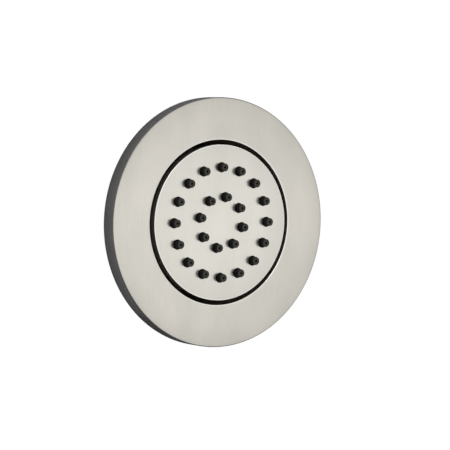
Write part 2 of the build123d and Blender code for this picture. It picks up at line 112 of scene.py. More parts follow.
def new_material(name, metallic, roughness, ior=1.5):
    material = bpy.data.materials.new(name)
    material.use_nodes = True
    tree = material.node_tree
    shader = tree.nodes["Principled BSDF"]
    shader.inputs["Metallic"].default_value = metallic
    shader.inputs["Roughness"].default_value = roughness
    shader.inputs["IOR"].default_value = ior
    return material, tree, shader


def per_mm(*sizes):
    return [1 / (size * MM) for size in sizes]


print("mid grey in linear:", [round(c, 3) for c in linear("#808080")])

# %% [markdown]
# ## Marks of the belt
# The plate and the disc are plated with nickel and then brushed with a fine belt, top to bottom. The
# belt leaves parallel scratches about a twentieth of a millimetre wide. To the eye they are short
# streaks of lighter and darker metal, on top of soft clouds, and they come and go in patches. A picture
# of scratches could be laid on, but it would blur close up. Noise stays sharp: one noise is pulled out
# along the scratches for the streaks, a slow one makes the clouds, and a third says where the streaks
# are strong.

# %% Marks of the belt
# Noise seldom leaves this band, so the band is spread to full contrast.
NOISE_LOW, NOISE_HIGH = 0.35, 0.65
CLOUD_MM, PATCH_MM = (16.0, 30.0, 30.0), 11.0
FAINTEST_STREAKS = 0.2


def belt_marks(tree, place, streak_mm, streak_share):
    # Real scratches are finer than a pixel, so the streaks are drawn about fifteen times as wide.
    streak_place = add(tree, "ShaderNodeMapping", {"Vector": place, "Scale": per_mm(*streak_mm)})
    streaks = add(tree, "ShaderNodeTexNoise", {
        "Vector": streak_place.outputs[0], "Scale": 1.0, "Detail": 2.0})
    cloud_place = add(tree, "ShaderNodeMapping", {"Vector": place, "Scale": per_mm(*CLOUD_MM)})
    clouds = add(tree, "ShaderNodeTexNoise", {
        "Vector": cloud_place.outputs[0], "Scale": 1.0, "Detail": 1.0})
    patches = add(tree, "ShaderNodeTexNoise", {
        "Vector": place, "Scale": per_mm(PATCH_MM)[0], "Detail": 1.0})
    share = add(tree, "ShaderNodeMapRange", {
        "Value": patches.outputs[0], "From Min": NOISE_LOW, "From Max": NOISE_HIGH,
        "To Min": FAINTEST_STREAKS * streak_share, "To Max": streak_share})
    mixed = add(tree, "ShaderNodeMix", {
        0: share.outputs[0], 2: clouds.outputs[0], 3: streaks.outputs[0]})
    spread = add(tree, "ShaderNodeMapRange", {
        "Value": mixed.outputs[0], "From Min": NOISE_LOW, "From Max": NOISE_HIGH})
    return streaks.outputs[0], spread.outputs[0]


print("clouds of", CLOUD_MM, "mm, patches of", PATCH_MM, "mm")

# %% [markdown]
# ## Painted highlight on the edges
# Along the gap the edges of the hole and the disc are painted bright, as a painted highlight where the
# edges catch the light. The line could be a strip of faces with its own material, but it is only a third of
# a millimetre wide and has no sharp border. So the material finds it by itself, where a point is close to
# the edge's radius and to the front.

# %% Painted highlight on the edges
HIGHLIGHT_WIDTH, HIGHLIGHT_DEPTH, HIGHLIGHT_FADE = 0.45, 0.5, 0.2


def turning_place(tree):
    place = add(tree, "ShaderNodeTexCoord").outputs["Object"]
    parts = add(tree, "ShaderNodeSeparateXYZ", {0: place})
    flat = add(tree, "ShaderNodeCombineXYZ", {0: parts.outputs[0], 1: parts.outputs[2]})
    radius = add(tree, "ShaderNodeVectorMath", {0: flat.outputs[0]}, operation="LENGTH")
    return place, radius.outputs["Value"], parts.outputs[1]


def painted_edge_highlight(tree, radius, depth, edge_mm, front):
    off_edge = add(tree, "ShaderNodeMath", {0: radius, 1: edge_mm * MM}, operation="SUBTRACT")
    from_edge = add(tree, "ShaderNodeMath", {0: off_edge.outputs[0]}, operation="ABSOLUTE")
    near_edge = add(tree, "ShaderNodeMapRange", {
        "Value": from_edge.outputs[0],
        "From Min": HIGHLIGHT_WIDTH * MM, "From Max": (HIGHLIGHT_WIDTH - HIGHLIGHT_FADE) * MM})
    near_front = add(tree, "ShaderNodeMapRange", {
        "Value": depth,
        "From Min": front + HIGHLIGHT_DEPTH * MM, "From Max": front + (HIGHLIGHT_DEPTH - HIGHLIGHT_FADE) * MM})
    painted_highlight = add(tree, "ShaderNodeMath", {
        0: near_edge.outputs[0], 1: near_front.outputs[0]}, operation="MULTIPLY")
    return painted_highlight.outputs[0]


print("edges rubbed up to", HIGHLIGHT_WIDTH, "mm from the gap")

# %% [markdown]
# ## Brushed nickel
# Scratches stretch every reflection sideways, across their own direction. Grooves in the mesh could do
# that, but they would be finer than a pixel. An anisotropic metal shader does it without them, with a
# tangent that points across the plate. The marks of the belt go into the colour and, very weakly, into the
# gloss and the bump. The colour is also painted darker towards the outer edge, as painted shade, and
# lighter along the gap, as painted highlight. A small share of the light scatters in the scratches, so it
# isn't quite all metal.

# %% Brushed nickel
NICKEL_METALLIC, BRUSH_STRETCH = 0.92, 0.3
PAINTED_EDGE_SHADE, PAINTED_HIGHLIGHT_TONE = 0.93, linear("#f2f0ea")
STREAK_LOW, STREAK_HIGH, GLOSS_STEP = 0.3, 0.7, 0.002


def brushed_nickel(name, node, edge_mm, painted_shade_mm, streak_mm, streak_share, light, dark, roughness):
    material, tree, shader = new_material(name, metallic=NICKEL_METALLIC, roughness=roughness)
    place, radius, depth = turning_place(tree)
    streaks, marks = belt_marks(tree, place, streak_mm, streak_share)
    brushed = add(tree, "ShaderNodeMix", {0: marks, 6: linear(dark), 7: linear(light)}, data_type="RGBA")
    # Painted shade: the colour darkens between the two radii given.
    outwards = add(tree, "ShaderNodeMapRange", {
        "Value": radius, "From Min": painted_shade_mm[0] * MM, "From Max": painted_shade_mm[1] * MM})
    edge_shaded = add(tree, "ShaderNodeMix", {
        0: outwards.outputs[0], 6: brushed.outputs[2], 7: (PAINTED_EDGE_SHADE, PAINTED_EDGE_SHADE, PAINTED_EDGE_SHADE, 1.0)},
        data_type="RGBA", blend_type="MULTIPLY")
    # Painted highlight: a bright line along the edge of the gap.
    painted_highlight = painted_edge_highlight(tree, radius, depth, edge_mm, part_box(node)[0][1])
    tone = add(tree, "ShaderNodeMix", {
        0: painted_highlight, 6: edge_shaded.outputs[2], 7: PAINTED_HIGHLIGHT_TONE}, data_type="RGBA")
    gloss = add(tree, "ShaderNodeMapRange", {
        "Value": streaks, "From Min": STREAK_LOW, "From Max": STREAK_HIGH,
        "To Min": roughness + GLOSS_STEP, "To Max": roughness - GLOSS_STEP})
    grooves = add(tree, "ShaderNodeBump", {"Height": streaks, "Strength": 0.03, "Distance": 0.02 * MM})
    across = add(tree, "ShaderNodeVectorTransform", {"Vector": (1, 0, 0)},
                 vector_type="VECTOR", convert_from="OBJECT", convert_to="WORLD")
    shader.inputs["Anisotropic"].default_value = BRUSH_STRETCH
    tree.links.new(tone.outputs[2], shader.inputs["Base Color"])
    tree.links.new(gloss.outputs[0], shader.inputs["Roughness"])
    tree.links.new(grooves.outputs[0], shader.inputs["Normal"])
    tree.links.new(across.outputs[0], shader.inputs["Tangent"])
    return material


print("reflections stretched by", BRUSH_STRETCH, "across the scratches")

# %% [markdown]
# ## Two brushings
# The plate and the disc were brushed apart. The disc's marks are a little finer. Its colour is painted a
# little lighter, partly as a painted highlight, since the disc shows a brighter reflection than the plate.
# So each gets a material of its own from the same function.

# %% Nickel of the plate and of the disc
HOLE_RADIUS = 41.03
disc_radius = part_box("spray_plate")[1][0] / MM
# Both nickels are painted darker towards their outer radius, as painted shade.
plate_nickel = brushed_nickel(
    "nickel brushed up and down", "cover_plate", edge_mm=HOLE_RADIUS, painted_shade_mm=(52.0, 61.0),
    streak_mm=(0.8, 4.0, 9.0), streak_share=0.5, light="#cac6be", dark="#c2bfb7", roughness=0.27)
# The disc's lighter colours are partly painted highlight.
disc_nickel = brushed_nickel(
    "nickel brushed finer", "spray_plate", edge_mm=disc_radius, painted_shade_mm=(26.0, 40.0),
    streak_mm=(0.7, 4.0, 9.0), streak_share=0.45, light="#d1cec7", dark="#cbc8c0", roughness=0.26)
print("nickel:", plate_nickel.name, "and", disc_nickel.name, "to a radius of", round(disc_radius, 2), "mm")

# %% [markdown]
# ## Turned rim
# The rim was turned, not brushed: fine rings run round it, and its reflections stretch along the axis.
# Towards the wall its colour is painted darker, as painted shade. The narrow round at the sharp front edge
# is painted dark, a painted reflection that draws a thin dark line round the plate. A wave texture could
# draw the rings, but all alike, so noise is read from the radius and the depth alone, and comes out as
# rings that differ.

# %% Turned rim
RIM_RING_MM, RIM_STAIN_MM = 0.4, 14.0
RIM_STRETCH, STAIN_SHARE, UNEVEN_SHARE = 0.4, 0.5, 0.25


def turned_nickel(name, front, back, roughness):
    material, tree, shader = new_material(name, metallic=1.0, roughness=roughness)
    place, radius, depth = turning_place(tree)
    ring_place = add(tree, "ShaderNodeCombineXYZ", {0: radius, 1: depth})
    # The rings are a twentieth of a millimetre apart, and are drawn wider so that they show.
    rings = add(tree, "ShaderNodeTexNoise", {
        "Vector": ring_place.outputs[0], "Scale": per_mm(RIM_RING_MM)[0], "Detail": 2.0})
    stains = add(tree, "ShaderNodeTexNoise", {
        "Vector": place, "Scale": per_mm(RIM_STAIN_MM)[0], "Detail": 2.0})
    # Painted shade: the rim's colour darkens towards the wall.
    near_wall = add(tree, "ShaderNodeMapRange", {"Value": depth, "From Min": plate_face, "From Max": 0.0})
    uneven = add(tree, "ShaderNodeMix", {0: STAIN_SHARE, 2: rings.outputs[0], 3: stains.outputs[0]})
    share = add(tree, "ShaderNodeMix", {0: UNEVEN_SHARE, 2: near_wall.outputs[0], 3: uneven.outputs[0]})
    tone = add(tree, "ShaderNodeMix", {
        0: share.outputs[0], 6: linear(front), 7: linear(back)}, data_type="RGBA")
    along = add(tree, "ShaderNodeVectorTransform", {"Vector": (0, 1, 0)},
                vector_type="VECTOR", convert_from="OBJECT", convert_to="WORLD")
    shader.inputs["Anisotropic"].default_value = RIM_STRETCH
    tree.links.new(tone.outputs[2], shader.inputs["Base Color"])
    tree.links.new(along.outputs[0], shader.inputs["Tangent"])
    return material


# The darker back colour is painted shade towards the wall.
rim_nickel = turned_nickel("nickel turned at the rim", front="#c9c6c1", back="#9b9a97", roughness=0.22)
# Painted reflection: the narrow front round is painted dark, as a thin dark line.
painted_dark_edge = turned_nickel("nickel painted dark at the edge", front="#646361", back="#5c5b59", roughness=0.3)
print("rim:", rim_nickel.name, "and", painted_dark_edge.name)

# %% [markdown]
# ## Black silicone
# The nozzles are one soft moulding that is pushed through the disc from behind, so limescale can be rubbed
# off with a thumb. Their tips are painted a little greyer than the sides, as a painted highlight where the
# flat tips face the light. Silicone refracts less than most plastics, so its gloss is weak, and the mould
# leaves it matt. The tips could be cut off as a second piece, but they are one moulding with the sides, so
# two tones are mixed by the distance from the front. A faint bump breaks up the gloss.

# %% Black silicone
TIP_FULL, TIP_END, SKIN_MM = 0.03, 0.18, 0.6
silicone, tree, shader = new_material(
    "black silicone, moulded matt", metallic=0.0, roughness=0.55, ior=1.41)
shader.inputs["Specular IOR Level"].default_value = 0.07
place = add(tree, "ShaderNodeTexCoord").outputs["Object"]
parts = add(tree, "ShaderNodeSeparateXYZ", {0: place})
tip_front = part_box("nozzle_mat")[0][1]
tips = add(tree, "ShaderNodeMapRange", {
    "Value": parts.outputs[1], "From Min": tip_front + TIP_END * MM, "From Max": tip_front + TIP_FULL * MM})
skin = add(tree, "ShaderNodeTexNoise", {"Vector": place, "Scale": per_mm(SKIN_MM)[0], "Detail": 2.0})
sides = add(tree, "ShaderNodeMix", {
    0: skin.outputs[0], 6: linear("#0c0c0b"), 7: linear("#191918")}, data_type="RGBA")
# Painted highlight: the flat tips get a lighter grey.
painted_highlight = add(tree, "ShaderNodeMix", {
    0: skin.outputs[0], 6: linear("#323230"), 7: linear("#4a4a46")}, data_type="RGBA")
tone = add(tree, "ShaderNodeMix", {
    0: tips.outputs[0], 6: sides.outputs[2], 7: painted_highlight.outputs[2]}, data_type="RGBA")
bump = add(tree, "ShaderNodeBump", {"Height": skin.outputs[0], "Strength": 0.15, "Distance": 0.03 * MM})
tree.links.new(tone.outputs[2], shader.inputs["Base Color"])
tree.links.new(bump.outputs[0], shader.inputs["Normal"])
print("silicone:", silicone.name, "with rubbed tips at", round(tip_front / MM, 2), "mm")

# %% [markdown]
# ## Moulded ABS
# The cup in the wall is grey ABS, and the back of the water chamber is black. Their moulds are
# spark-eroded, which gives an even skin with grains about a third of a millimetre across. Plain noise
# would look cloudy there, so a texture of small cells makes the grain, drawn at half a millimetre so
# that it shows. A slower noise makes the tone and the gloss a little uneven.

# %% Moulded ABS
GRAIN_MM, FLOW_MM = 0.5, 9.0


def moulded_abs(name, light, dark):
    material, tree, shader = new_material(name, metallic=0.0, roughness=0.5, ior=1.53)
    place = add(tree, "ShaderNodeTexCoord").outputs["Object"]
    grain = add(tree, "ShaderNodeTexVoronoi", {
        "Vector": place, "Scale": per_mm(GRAIN_MM)[0]}, feature="SMOOTH_F1")
    flow = add(tree, "ShaderNodeTexNoise", {"Vector": place, "Scale": per_mm(FLOW_MM)[0], "Detail": 3.0})
    tone = add(tree, "ShaderNodeMix", {
        0: flow.outputs[0], 6: linear(dark), 7: linear(light)}, data_type="RGBA")
    gloss = add(tree, "ShaderNodeMapRange", {"Value": flow.outputs[0], "To Min": 0.42, "To Max": 0.58})
    bump = add(tree, "ShaderNodeBump", {
        "Height": grain.outputs[0], "Strength": 0.35, "Distance": 0.06 * MM})
    tree.links.new(tone.outputs[2], shader.inputs["Base Color"])
    tree.links.new(gloss.outputs[0], shader.inputs["Roughness"])
    tree.links.new(bump.outputs[0], shader.inputs["Normal"])
    return material


cup_abs = moulded_abs("grey ABS, spark-eroded mould", light="#7d7568", dark="#72695c")
chamber_abs = moulded_abs("black ABS, spark-eroded mould", light="#262627", dark="#1c1c1d")
print("ABS:", cup_abs.name, "and", chamber_abs.name)

# %% [markdown]
# ## Foam and rubber
# The gasket on the wall is punched from closed-cell EPDM foam: dark grey, dull, with cut cells up to a
# millimetre across. The seal rings are black nitrile rubber, smoother, with a slight bloom. Modelled
# pores would cost far too many faces, so a texture of cells draws them, and noise makes the bloom.

# %% Foam and rubber
PORE_MM, BLOOM_MM = 0.9, 1.5
foam, tree, shader = new_material("EPDM foam, cut", metallic=0.0, roughness=0.9)
place = add(tree, "ShaderNodeTexCoord").outputs["Object"]
cells = add(tree, "ShaderNodeTexVoronoi", {"Vector": place, "Scale": per_mm(PORE_MM)[0]})
pores = add(tree, "ShaderNodeMapRange", {
    "Value": cells.outputs[0], "From Min": 0.15, "From Max": 0.55})
tone = add(tree, "ShaderNodeMix", {
    0: pores.outputs[0], 6: linear("#1d1d1e"), 7: linear("#3a3a3b")}, data_type="RGBA")
bump = add(tree, "ShaderNodeBump", {"Height": pores.outputs[0], "Strength": 0.7, "Distance": 0.25 * MM})
tree.links.new(tone.outputs[2], shader.inputs["Base Color"])
tree.links.new(bump.outputs[0], shader.inputs["Normal"])

rubber, tree, shader = new_material("nitrile rubber", metallic=0.0, roughness=0.6, ior=1.52)
place = add(tree, "ShaderNodeTexCoord").outputs["Object"]
bloom = add(tree, "ShaderNodeTexNoise", {"Vector": place, "Scale": per_mm(BLOOM_MM)[0], "Detail": 3.0})
tone = add(tree, "ShaderNodeMix", {
    0: bloom.outputs[0], 6: linear("#101010"), 7: linear("#1e1e1e")}, data_type="RGBA")
tree.links.new(tone.outputs[2], shader.inputs["Base Color"])
print("soft materials:", foam.name, "and", rubber.name)

# %% [markdown]
# ## Turned brass
# The inlet, its lock nut and the socket nut are turned from brass bar. The tool leaves rings round the
# axis, about a tenth of a millimetre apart, and handling leaves soft stains. A picture of rings would
# need each piece unwrapped. The distance from the axis and the depth along it give coordinates in which
# a ring is one point, so noise read there comes out as rings on any turned piece.

# %% Turned brass
BRASS_RING_MM, BRASS_STAIN_MM = 0.3, 5.0
brass, tree, shader = new_material("turned brass", metallic=1.0, roughness=0.3)
place, radius, depth = turning_place(tree)
ring_place = add(tree, "ShaderNodeCombineXYZ", {0: radius, 1: depth})
# The rings are drawn three times as far apart as they are, so that they show.
rings = add(tree, "ShaderNodeTexNoise", {
    "Vector": ring_place.outputs[0], "Scale": per_mm(BRASS_RING_MM)[0], "Detail": 2.0})
stains = add(tree, "ShaderNodeTexNoise", {
    "Vector": place, "Scale": per_mm(BRASS_STAIN_MM)[0], "Detail": 4.0})
tone = add(tree, "ShaderNodeMix", {
    0: stains.outputs[0], 6: linear("#b8924c"), 7: linear("#dfc07e")}, data_type="RGBA")
gloss = add(tree, "ShaderNodeMapRange", {"Value": stains.outputs[0], "To Min": 0.22, "To Max": 0.42})
bump = add(tree, "ShaderNodeBump", {"Height": rings.outputs[0], "Strength": 0.25, "Distance": 0.02 * MM})
tree.links.new(tone.outputs[2], shader.inputs["Base Color"])
tree.links.new(gloss.outputs[0], shader.inputs["Roughness"])
tree.links.new(bump.outputs[0], shader.inputs["Normal"])
print("brass:", brass.name)

# %% [markdown]
# ## The pieces inside
# Chromed brass for the ball, white PTFE for the two rings that it slips in, blue acetal for the flow
# limiter, and stainless steel for the screws, the washer and the filter. They hardly show, but they
# do when the head is taken off or tilted. One smooth noise on colour and gloss is enough for each.

# %% Chrome, PTFE, acetal and stainless steel
GLOSS_LOW, GLOSS_HIGH = 0.8, 1.2


def plain_finish(name, metallic, roughness, light, dark, patch_mm, ior=1.5):
    material, tree, shader = new_material(name, metallic, roughness, ior)
    place = add(tree, "ShaderNodeTexCoord").outputs["Object"]
    patches = add(tree, "ShaderNodeTexNoise", {
        "Vector": place, "Scale": per_mm(patch_mm)[0], "Detail": 3.0})
    tone = add(tree, "ShaderNodeMix", {
        0: patches.outputs[0], 6: linear(dark), 7: linear(light)}, data_type="RGBA")
    gloss = add(tree, "ShaderNodeMapRange", {
        "Value": patches.outputs[0], "To Min": roughness * GLOSS_LOW, "To Max": roughness * GLOSS_HIGH})
    tree.links.new(tone.outputs[2], shader.inputs["Base Color"])
    tree.links.new(gloss.outputs[0], shader.inputs["Roughness"])
    return material


chrome = plain_finish(
    "chromed brass", metallic=1.0, roughness=0.08, light="#d8dadc", dark="#cfd1d4", patch_mm=6.0)
ptfe = plain_finish(
    "white PTFE", metallic=0.0, roughness=0.4, light="#eceae6", dark="#e2dfda", patch_mm=3.0, ior=1.35)
acetal = plain_finish(
    "blue acetal", metallic=0.0, roughness=0.35, light="#3f6fb0", dark="#35609d", patch_mm=4.0, ior=1.48)
stainless = plain_finish(
    "stainless steel", metallic=1.0, roughness=0.32, light="#c9c9c6", dark="#b4b4b1", patch_mm=2.0)
print("inside:", chrome.name, ptfe.name, acetal.name, stainless.name)

# %% [markdown]
# ## Which piece has which finish
# Every CAD piece is an object with one material slot. The slots could be filled one by one, but a table
# from material to pieces reads like a parts list, and one loop fills them all. The plate and the inlet
# aren't in it, because their new meshes get their materials when they are made.

# %% Give each CAD piece its material
finishes = {
    disc_nickel: ("spray_plate",),
    silicone: ("nozzle_mat",),
    cup_abs: ("recess_cup",),
    chamber_abs: ("chamber_back",),
    foam: ("wall_gasket",),
    rubber: ("cover_grip_ring", "nipple_washer", "ball_seal", "seat_seal", "limiter_ring"),
    brass: ("lock_nut", "socket_nut"),
    chrome: ("swivel_ball",),
    ptfe: ("friction_ring", "ball_seat"),
    acetal: ("flow_limiter",),
    stainless: ("filter_screen", "lock_washer", "head_screws"),
}
for material, names in finishes.items():
    for name in names:
        nodes[name].material_slots[0].material = material
    print(material.name, "on", ", ".join(names))

# %% [markdown]
# ## Turning a piece
# The plate and the inlet are turned parts. Cylinders could be stacked and joined for them, but a lathe
# works from a section, and so does a spin. A piece starts as half of its section: a few vertices in the
# XY plane, with X as the radius and Y as the depth. A full spin about the Y axis makes the solid. A
# finished mesh gets sharp edges where its faces meet steeply, then its body and the CAD node that it
# stands for.

# %% Helpers for turned pieces
SHARP_ANGLE = math.radians(30)


def turn(bm, section, steps, closed):
    points = [bm.verts.new((r * MM, y * MM, 0)) for r, y in section]
    pairs = list(zip(points, points[1:]))
    if closed:
        pairs.append((points[-1], points[0]))
    edges = [bm.edges.new(pair) for pair in pairs]
    bmesh.ops.spin(bm, geom=points + edges, cent=(0, 0, 0), axis=(0, 1, 0),
                   angle=math.tau, steps=steps, use_merge=True)


def radius_of(vert):
    return math.hypot(vert.co.x, vert.co.z)


def place_piece(bm, name, node, body, materials):
    bmesh.ops.recalc_face_normals(bm, faces=bm.faces)
    for face in bm.faces:
        face.smooth = True
    for edge in bm.edges:
        edge.smooth = len(edge.link_faces) == 2 and edge.calc_face_angle() < SHARP_ANGLE
    mesh = bpy.data.meshes.new(name)
    bm.to_mesh(mesh)
    bm.free()
    for material in materials:
        mesh.materials.append(material)
    piece = bpy.data.objects.new(name, mesh)
    bpy.context.collection.objects.link(piece)
    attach(piece, body)
    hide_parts(node)
    print(name, "has", len(mesh.polygons), "faces")


print("edges are sharp from", round(math.degrees(SHARP_ANGLE)), "degrees")

# %% [markdown]
# ## The cover plate
# The plate is a shallow dish: a thick face with a wide hole, and a rim that reaches back to the wall.
# A cylinder with a hole cut into it would do, but its edges would be knife-sharp. On the real plate a
# hair of round on each edge catches the light, so the section is spun and its four ring edges are
# bevelled. The belt takes a little more off near the outer edge, so the face falls there by a few
# hundredths of a millimetre. A loop just inside each edge keeps the shading of the flat face flat.

# %% Section of the cover plate
PLATE_STEPS = 256
FACE_WALL, RIM_WALL = 3.0, 2.6
FALL_WIDTH, FALL_MIDDLE, EDGE_DROP, LOOP_INSET = 2.5, 0.015, 0.06, 1.2
plate_radius, plate_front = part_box("cover_plate")[1][0] / MM, plate_face / MM
face_back, rim_inner = plate_front + FACE_WALL, plate_radius - RIM_WALL

bm = bmesh.new()
turn(bm, (
    (HOLE_RADIUS, plate_front),
    (HOLE_RADIUS + LOOP_INSET, plate_front),
    (plate_radius - FALL_WIDTH, plate_front),
    (plate_radius - LOOP_INSET, plate_front + FALL_MIDDLE),
    (plate_radius, plate_front + EDGE_DROP),
    (plate_radius, plate_front + LOOP_INSET),
    (plate_radius, -LOOP_INSET),
    (plate_radius, 0),
    (rim_inner, 0),
    (rim_inner, face_back),
    (HOLE_RADIUS, face_back),
    (HOLE_RADIUS, plate_front + LOOP_INSET),
), PLATE_STEPS, closed=True)
print("plate turned to a radius of", round(plate_radius, 2), "mm")

# %% [markdown]
# ## Edges and finishes of the plate
# The rounds and the finishes belong to rings, so each ring edge is found by its radius and its depth, and
# bevelled. A hand-made list of edges would be lost with the next change of the section. Faces on the rim
# then get the turned finish, and the narrow round at the front gets the dark one, a painted reflection. All
# others keep the straight brushing, which is the plate's first material.

# %% Edges and finishes of the cover plate
EDGE_ROUND, HOLE_ROUND, BACK_ROUND = 0.4, 0.3, 0.1
SAME_PLACE = 0.01
# The places of the turned finish and of the painted dark edge line in the plate's list of materials.
TURNED, PAINTED_EDGE_LINE = 1, 2


def ring_edges(bm, ring_radius, depth):
    return [e for e in bm.edges if all(
        abs(radius_of(v) / MM - ring_radius) < SAME_PLACE and abs(v.co.y / MM - depth) < SAME_PLACE
        for v in e.verts)]


for ring_radius, depth, width in (
    (plate_radius, plate_front + EDGE_DROP, EDGE_ROUND),
    (HOLE_RADIUS, plate_front, HOLE_ROUND),
    (plate_radius, 0, BACK_ROUND),
    (rim_inner, 0, BACK_ROUND),
):
    bmesh.ops.bevel(bm, geom=ring_edges(bm, ring_radius, depth), offset=width * MM, segments=4,
                    profile=0.5, affect="EDGES", material=-1)
edge_back = plate_front + EDGE_DROP + EDGE_ROUND
# The narrow front round gets the painted dark edge line, a painted reflection.
for face in bm.faces:
    mean_radius = sum(radius_of(vert) for vert in face.verts) / len(face.verts) / MM
    if mean_radius > plate_radius - EDGE_ROUND:
        face.material_index = PAINTED_EDGE_LINE if face.calc_center_median().y < edge_back * MM else TURNED
place_piece(bm, "cover_plate_turned", "cover_plate", "wall_set",
            (plate_nickel, rim_nickel, painted_dark_edge))

# %% [markdown]
# ## The threaded inlet
# Water comes in through a brass nipple with a half-inch pipe thread, which the CAD model draws as a
# plain cylinder. Rings would look like a thread from afar, but they don't climb. A thread's section is
# one tooth, so one tooth is spun round many times while it moves back by one pitch each turn. Two cuts
# give it square ends, and the teeth are turned down towards both.

# %% Sizes of the inlet
PITCH, TOOTH, RUNOUT = 1.814, 1.162, 1.0
PIPE_RADIUS, LOCK_RADIUS, COLLAR_RADIUS = 10.4775, 11.0, 15.5
HEX_FLATS, HEX_HEIGHT, COLLAR_HEIGHT = 22.0, 6.0, 2.0
low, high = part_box("inlet_nipple")
hex_front, thread_back = low[1] / MM, high[1] / MM
hex_back = hex_front + HEX_HEIGHT
thread_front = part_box("lock_nut")[1][1] / MM + RUNOUT
root_radius = PIPE_RADIUS - TOOTH
print("thread from", round(thread_front, 2), "to", round(thread_back, 2), "mm")

# %% Thread
# The spin starts before the first cut and ends after the second, both counted in turns.
STEPS_PER_TURN, RUN_IN, SPARE_TURNS = 48, 1.5, 2
# A flank starts and ends at these shares of the pitch, and the tooth is the same from both sides.
FLANK_START, FLANK_END = 0.1, 0.42
WELD_MM, CUT_MM = 0.005, 0.001
tooth_section = (
    (root_radius, 0), (root_radius, FLANK_START), (PIPE_RADIUS, FLANK_END),
    (PIPE_RADIUS, 1 - FLANK_END), (root_radius, 1 - FLANK_START), (root_radius, 1.0),
)
turns = math.ceil((thread_back - thread_front) / PITCH) + SPARE_TURNS
start = thread_front - RUN_IN * PITCH

bm = bmesh.new()
points = [bm.verts.new((r * MM, (start + share * PITCH) * MM, 0)) for r, share in tooth_section]
edges = [bm.edges.new(pair) for pair in zip(points, points[1:])]
bmesh.ops.spin(bm, geom=points + edges, cent=(0, 0, 0), axis=(0, 1, 0), angle=math.tau * turns,
               dvec=(0, PITCH / STEPS_PER_TURN * MM, 0), steps=STEPS_PER_TURN * turns)
bmesh.ops.remove_doubles(bm, verts=bm.verts, dist=WELD_MM * MM)
for depth, outwards in ((thread_front, -1), (thread_back, 1)):
    bmesh.ops.bisect_plane(bm, geom=bm.verts[:] + bm.edges[:] + bm.faces[:], dist=CUT_MM * MM,
                           plane_co=(0, depth * MM, 0), plane_no=(0, outwards, 0), clear_outer=True)
print("thread:", turns, "turns spun,", len(bm.faces), "faces after the cuts")

# %% Teeth turned down towards the ends
for vert in bm.verts:
    from_ends = min(thread_back - vert.co.y / MM, vert.co.y / MM - thread_front)
    limit = min(PIPE_RADIUS, root_radius + max(from_ends, 0))
    if radius_of(vert) / MM > limit:
        inwards = limit * MM / radius_of(vert)
        vert.co.x *= inwards
        vert.co.z *= inwards
print("thread between radii of", round(root_radius, 2), "and", PIPE_RADIUS, "mm")

# %% [markdown]
# ## Collar, bore and hexagon
# The nipple's collar and its bore are full spins of open sections. The hexagon that a spanner grips is a
# circle of six vertices, extruded. These shells end in flat rings at four depths, and each ring lies
# between an inner and an outer loop. A bridge between loops with different numbers of vertices would
# twist, so a flat fill closes each ring.

# %% Collar and bore of the inlet
RING_STEPS = 96
NECK_RADIUS, PASSAGE_RADIUS, INLET_RADIUS = 4.55, 4.0, 7.0
SEAL_RADIUS, SEAL_DEPTH, NECK_DEPTH = 6.05, 1.4, 8.0
collar_back = hex_back + COLLAR_HEIGHT
limiter_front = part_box("flow_limiter")[0][1] / MM
turn(bm, (
    (COLLAR_RADIUS, hex_back),
    (COLLAR_RADIUS, collar_back),
    (LOCK_RADIUS, collar_back),
    (LOCK_RADIUS, thread_front),
), RING_STEPS, closed=False)
turn(bm, (
    (SEAL_RADIUS, hex_front),
    (SEAL_RADIUS, hex_front + SEAL_DEPTH),
    (NECK_RADIUS, hex_front + SEAL_DEPTH),
    (NECK_RADIUS, hex_front + NECK_DEPTH),
    (PASSAGE_RADIUS, hex_front + NECK_DEPTH),
    (PASSAGE_RADIUS, limiter_front),
    (INLET_RADIUS, limiter_front),
    (INLET_RADIUS, thread_back),
), RING_STEPS, closed=False)
print("collar back to", round(collar_back, 2), "mm, bore widens at", round(limiter_front, 2), "mm")

# %% Hexagon and flat ends of the inlet
SAME_DEPTH = 0.002
hexagon = bmesh.ops.create_circle(bm, segments=6, radius=HEX_FLATS / math.sqrt(3) * MM)["verts"]
# A new circle starts on Y, and the hexagon has its corners left and right.
upright_hexagon = Quaternion((1, 0, 0), math.pi / 2) @ Quaternion((0, 0, 1), math.pi / 6)
bmesh.ops.rotate(bm, verts=hexagon, cent=(0, 0, 0), matrix=upright_hexagon.to_matrix())
bmesh.ops.translate(bm, verts=hexagon, vec=(0, hex_front * MM, 0))
hexagon_edges = [edge for edge in bm.edges if edge.is_wire]
grown = bmesh.ops.extrude_edge_only(bm, edges=hexagon_edges)["geom"]
grown_verts = [part for part in grown if isinstance(part, bmesh.types.BMVert)]
bmesh.ops.translate(bm, verts=grown_verts, vec=(0, HEX_HEIGHT * MM, 0))
for depth in (hex_front, hex_back, thread_front, thread_back):
    rims = [e for e in bm.edges if e.is_boundary and all(
        abs(v.co.y / MM - depth) < SAME_DEPTH for v in e.verts)]
    bmesh.ops.triangle_fill(bm, edges=rims, use_beauty=True, normal=(0, 1, 0))
print("open edges left:", sum(e.is_boundary for e in bm.edges))
place_piece(bm, "inlet_nipple_threaded", "inlet_nipple", "wall_set", (brass,))

# %% [markdown]
# ## The white room
# The picture was taken on white. White walls could be built, but they would throw light back on the
# object. Here the world itself is white where the camera, the metal and anything clear look at it, and
# softer where it lights the object.

# %% World
WHITE, AMBIENT = linear("#ffffff"), 0.7
world = bpy.data.worlds.new("white studio")
bpy.context.scene.world = world
world.use_nodes = True
tree = world.node_tree


def seen_rays(tree):
    rays = add(tree, "ShaderNodeLightPath").outputs
    seen = add(tree, "ShaderNodeMath", {
        0: rays["Is Camera Ray"], 1: rays["Is Glossy Ray"]}, operation="MAXIMUM")
    return add(tree, "ShaderNodeMath", {
        0: seen.outputs[0], 1: rays["Is Transmission Ray"]}, operation="MAXIMUM").outputs[0]


